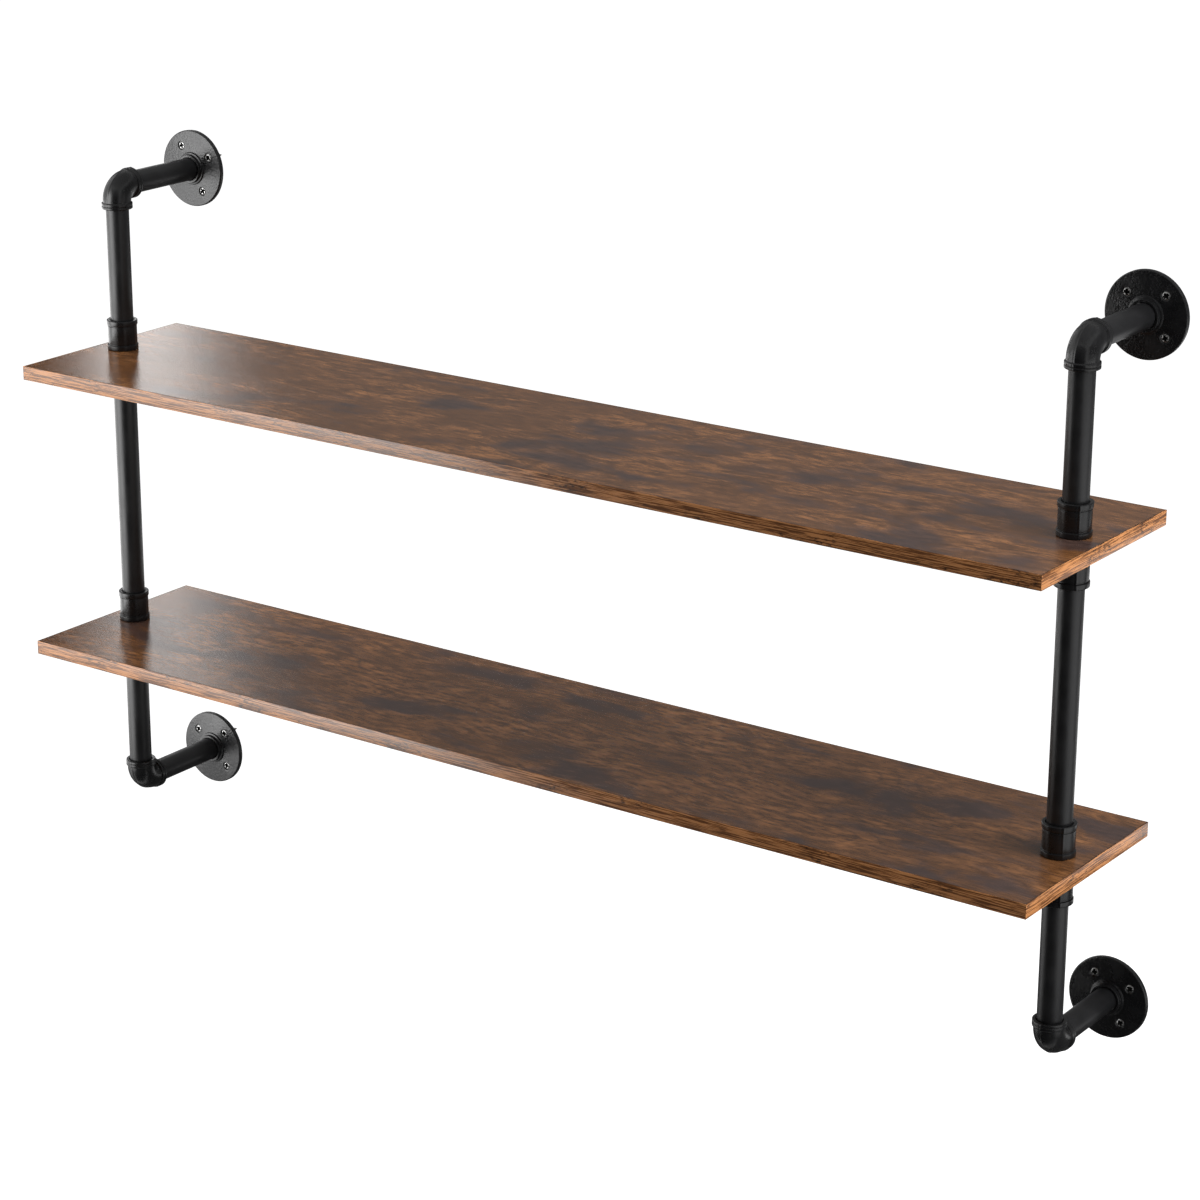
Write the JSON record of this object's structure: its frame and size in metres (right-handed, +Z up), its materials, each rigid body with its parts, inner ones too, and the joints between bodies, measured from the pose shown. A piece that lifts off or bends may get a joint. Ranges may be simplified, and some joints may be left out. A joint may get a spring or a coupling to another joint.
{
  "type": "wall mounted pipe shelving unit",
  "caption": "Wall shelving unit: two wood-effect boards clamped between couplings on black iron pipe frames that turn back through elbows to round wall flanges.",
  "frame": {"origin": "on the wall plane (the backs of the four flanges), mid-way along the boards and mid-way between the upper and the lower flange centres", "axes": "+X along the boards to the right as seen from the front, +Y from the room into the wall, +Z up"},
  "size_m": [1.3407, 0.2848, 0.8247],
  "materials": {
    "board_laminate": "satin rustic brown wood-effect laminate",
    "black_pipe": "matte black powder coat",
    "black_casting": "black coated cast iron, slightly grainy",
    "screw_steel": "bright zinc plated"
  },
  "bodies": {
    "root": {"shelf_upper": "board_laminate", "shelf_lower": "board_laminate", "post_upper_left": "black_pipe", "post_middle_left": "black_pipe", "post_lower_left": "black_pipe", "post_upper_right": "black_pipe", "post_middle_right": "black_pipe", "post_lower_right": "black_pipe", "arm_upper_left": "black_pipe", "arm_lower_left": "black_pipe", "arm_upper_right": "black_pipe", "arm_lower_right": "black_pipe", "through_nipple_upper_left": "black_pipe", "through_nipple_lower_left": "black_pipe", "through_nipple_upper_right": "black_pipe", "through_nipple_lower_right": "black_pipe", "elbow_upper_left": "black_casting", "elbow_lower_left": "black_casting", "elbow_upper_right": "black_casting", "elbow_lower_right": "black_casting", "flange_upper_left": "black_casting", "flange_lower_left": "black_casting", "flange_upper_right": "black_casting", "flange_lower_right": "black_casting", "coupling_above_upper_shelf_left": "black_casting", "coupling_below_upper_shelf_left": "black_casting", "coupling_above_lower_shelf_left": "black_casting", "coupling_below_lower_shelf_left": "black_casting", "coupling_above_upper_shelf_right": "black_casting", "coupling_below_upper_shelf_right": "black_casting", "coupling_above_lower_shelf_right": "black_casting", "coupling_below_lower_shelf_right": "black_casting", "screw_upper_left_1": "screw_steel", "screw_upper_left_2": "screw_steel", "screw_upper_left_3": "screw_steel", "screw_upper_left_4": "screw_steel", "screw_lower_left_1": "screw_steel", "screw_lower_left_2": "screw_steel", "screw_lower_left_3": "screw_steel", "screw_lower_left_4": "screw_steel", "screw_upper_right_1": "screw_steel", "screw_upper_right_2": "screw_steel", "screw_upper_right_3": "screw_steel", "screw_upper_right_4": "screw_steel", "screw_lower_right_1": "screw_steel", "screw_lower_right_2": "screw_steel", "screw_lower_right_3": "screw_steel", "screw_lower_right_4": "screw_steel"}
  },
  "joints": []
}
